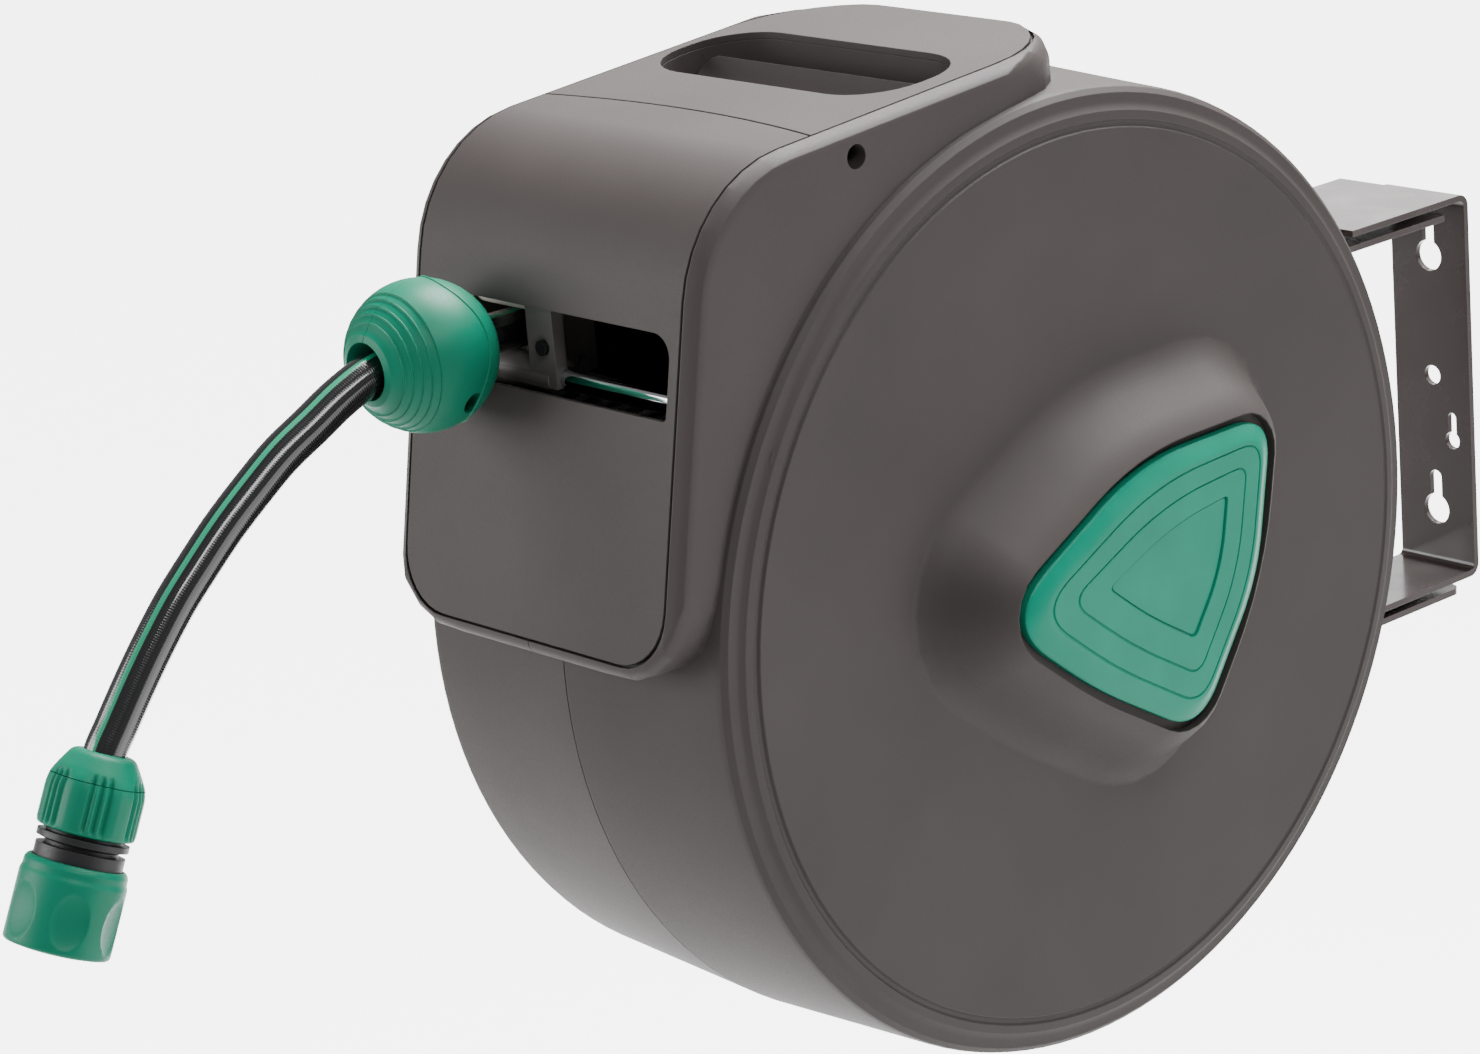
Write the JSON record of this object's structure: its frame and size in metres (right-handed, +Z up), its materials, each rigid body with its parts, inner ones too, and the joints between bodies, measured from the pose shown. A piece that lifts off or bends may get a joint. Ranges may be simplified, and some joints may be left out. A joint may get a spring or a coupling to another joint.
{
  "type": "wall mounted hose reel",
  "caption": "Round garden hose reel that swivels on a steel wall bracket, with spring rewind, level wind, stop ball and quick connector.",
  "frame": {"origin": "centre of the round hole in the wall bracket, on the bracket's back face, which lies on the wall", "axes": "+Y into the wall, -Y out to the front where the hose leaves, +Z up, X along the drum's axis"},
  "size_m": [0.2615, 0.7964, 0.434],
  "materials": {
    "casing_plastic": "fine spark-eroded texture",
    "bracket_paint": "gloss black powder coat",
    "green_plastic": "smooth moulded",
    "guide_plastic": "moulded",
    "black_plastic": "moulded",
    "gear_plastic": "natural acetal",
    "steel": "zinc plated",
    "chrome": "polished",
    "brass": "machined",
    "hose_rubber": "fine knitted pattern, semi gloss",
    "seal_rubber": "smooth"
  },
  "bodies": {
    "wall": {"wall_bracket": "bracket_paint", "pivot_pin": "steel", "pivot_washers": "gear_plastic", "pin_clip": "steel"},
    "reel": {"swivel_yoke": "bracket_paint", "yoke_screws": "steel", "casing_left": "casing_plastic", "casing_right": "casing_plastic", "casing_screws": "steel", "front_panel": "casing_plastic", "top_panel": "casing_plastic", "handle_tub": "casing_plastic", "hub_cover": "green_plastic", "axle": "steel", "axle_collar": "steel", "inlet_nipple": "brass", "spring_arbor": "steel", "guide_rod": "chrome", "idler_pin": "steel", "pawl_pin": "steel"},
    "drum": {"drum_core": "black_plastic", "drum_flange_left": "black_plastic", "drum_flange_right": "black_plastic", "hub_bushes": "gear_plastic", "axle_seals": "seal_rubber", "water_spout": "brass", "mainspring": "steel", "spring_cover": "steel", "ratchet_wheel": "steel", "drum_gear": "gear_plastic", "hose_pack": "hose_rubber", "hose_winding": "hose_rubber"},
    "idler": {"idler_gear": "gear_plastic"},
    "screw": {"lead_screw": "steel", "screw_gear": "gear_plastic"},
    "guide": {"hose_guide": "guide_plastic", "screw_follower": "steel", "guide_screws": "black_plastic", "roller_pins": "steel", "hose_lead": "hose_rubber", "stop_ball_left": "green_plastic", "stop_ball_right": "green_plastic", "ball_screws": "steel", "hose_free": "hose_rubber", "connector_nut": "green_plastic", "connector_body": "black_plastic", "connector_seal": "seal_rubber", "connector_spring": "steel"},
    "roller_top": {"guide_roller_top": "gear_plastic"},
    "roller_bottom": {"guide_roller_bottom": "gear_plastic"},
    "pawl": {"pawl": "steel"},
    "sleeve": {"connector_sleeve": "green_plastic"}
  },
  "joints": [
    {"name": "reel_swivel", "type": "hinge", "parent": "wall", "child": "reel", "pos_m": [0, -0.087, 0.0095], "axis": [0, 0, 1], "range_deg": [-70, 70]},
    {"name": "drum_spin", "type": "hinge", "parent": "reel", "child": "drum", "pos_m": [0, -0.341, 0.0095], "axis": [1, 0, 0], "range_deg": [0, 1640], "stiffness_Nm_per_rad": 0.1, "springref_deg": -572.96, "deforming": ["hose_lead", "mainspring"]},
    {"name": "idler_spin", "type": "hinge", "parent": "reel", "child": "idler", "pos_m": [0, -0.41568, 0.07601], "axis": [1, 0, 0], "range_deg": [-703, 0]},
    {"name": "screw_spin", "type": "hinge", "parent": "reel", "child": "screw", "pos_m": [0, -0.50461, 0.10146], "axis": [1, 0, 0], "range_deg": [0, 2187]},
    {"name": "guide_traverse", "type": "slide", "parent": "reel", "child": "guide", "axis": [1, 0, 0], "range_m": [0, 0.08]},
    {"name": "roller_top_spin", "type": "hinge", "parent": "guide", "child": "roller_top", "pos_m": [-0.04, -0.52663, 0.1574], "axis": [1, 0, 0], "continuous": true},
    {"name": "roller_bottom_spin", "type": "hinge", "parent": "guide", "child": "roller_bottom", "pos_m": [-0.04, -0.50963, 0.1276], "axis": [1, 0, 0], "continuous": true},
    {"name": "pawl_swing", "type": "hinge", "parent": "reel", "child": "pawl", "pos_m": [-0.062, -0.39343, -0.02721], "axis": [-1, 0, 0], "range_deg": [0, 20], "stiffness_Nm_per_rad": 0.02, "springref_deg": -17.19},
    {"name": "sleeve_slide", "type": "slide", "parent": "guide", "child": "sleeve", "axis": [0, 0.4266, 0.9045], "range_m": [0, 0.0035], "stiffness_N_per_m": 800, "springref_m": -0.004, "deforming": ["connector_spring"]}
  ],
  "couplings": [
    {"joint": "idler_spin", "follows": "drum_spin", "ratio": -0.42857},
    {"joint": "screw_spin", "follows": "drum_spin", "ratio": 1.3333},
    {"joint": "guide_traverse", "follows": "drum_spin", "m_per_rad": 0.0027852}
  ]
}
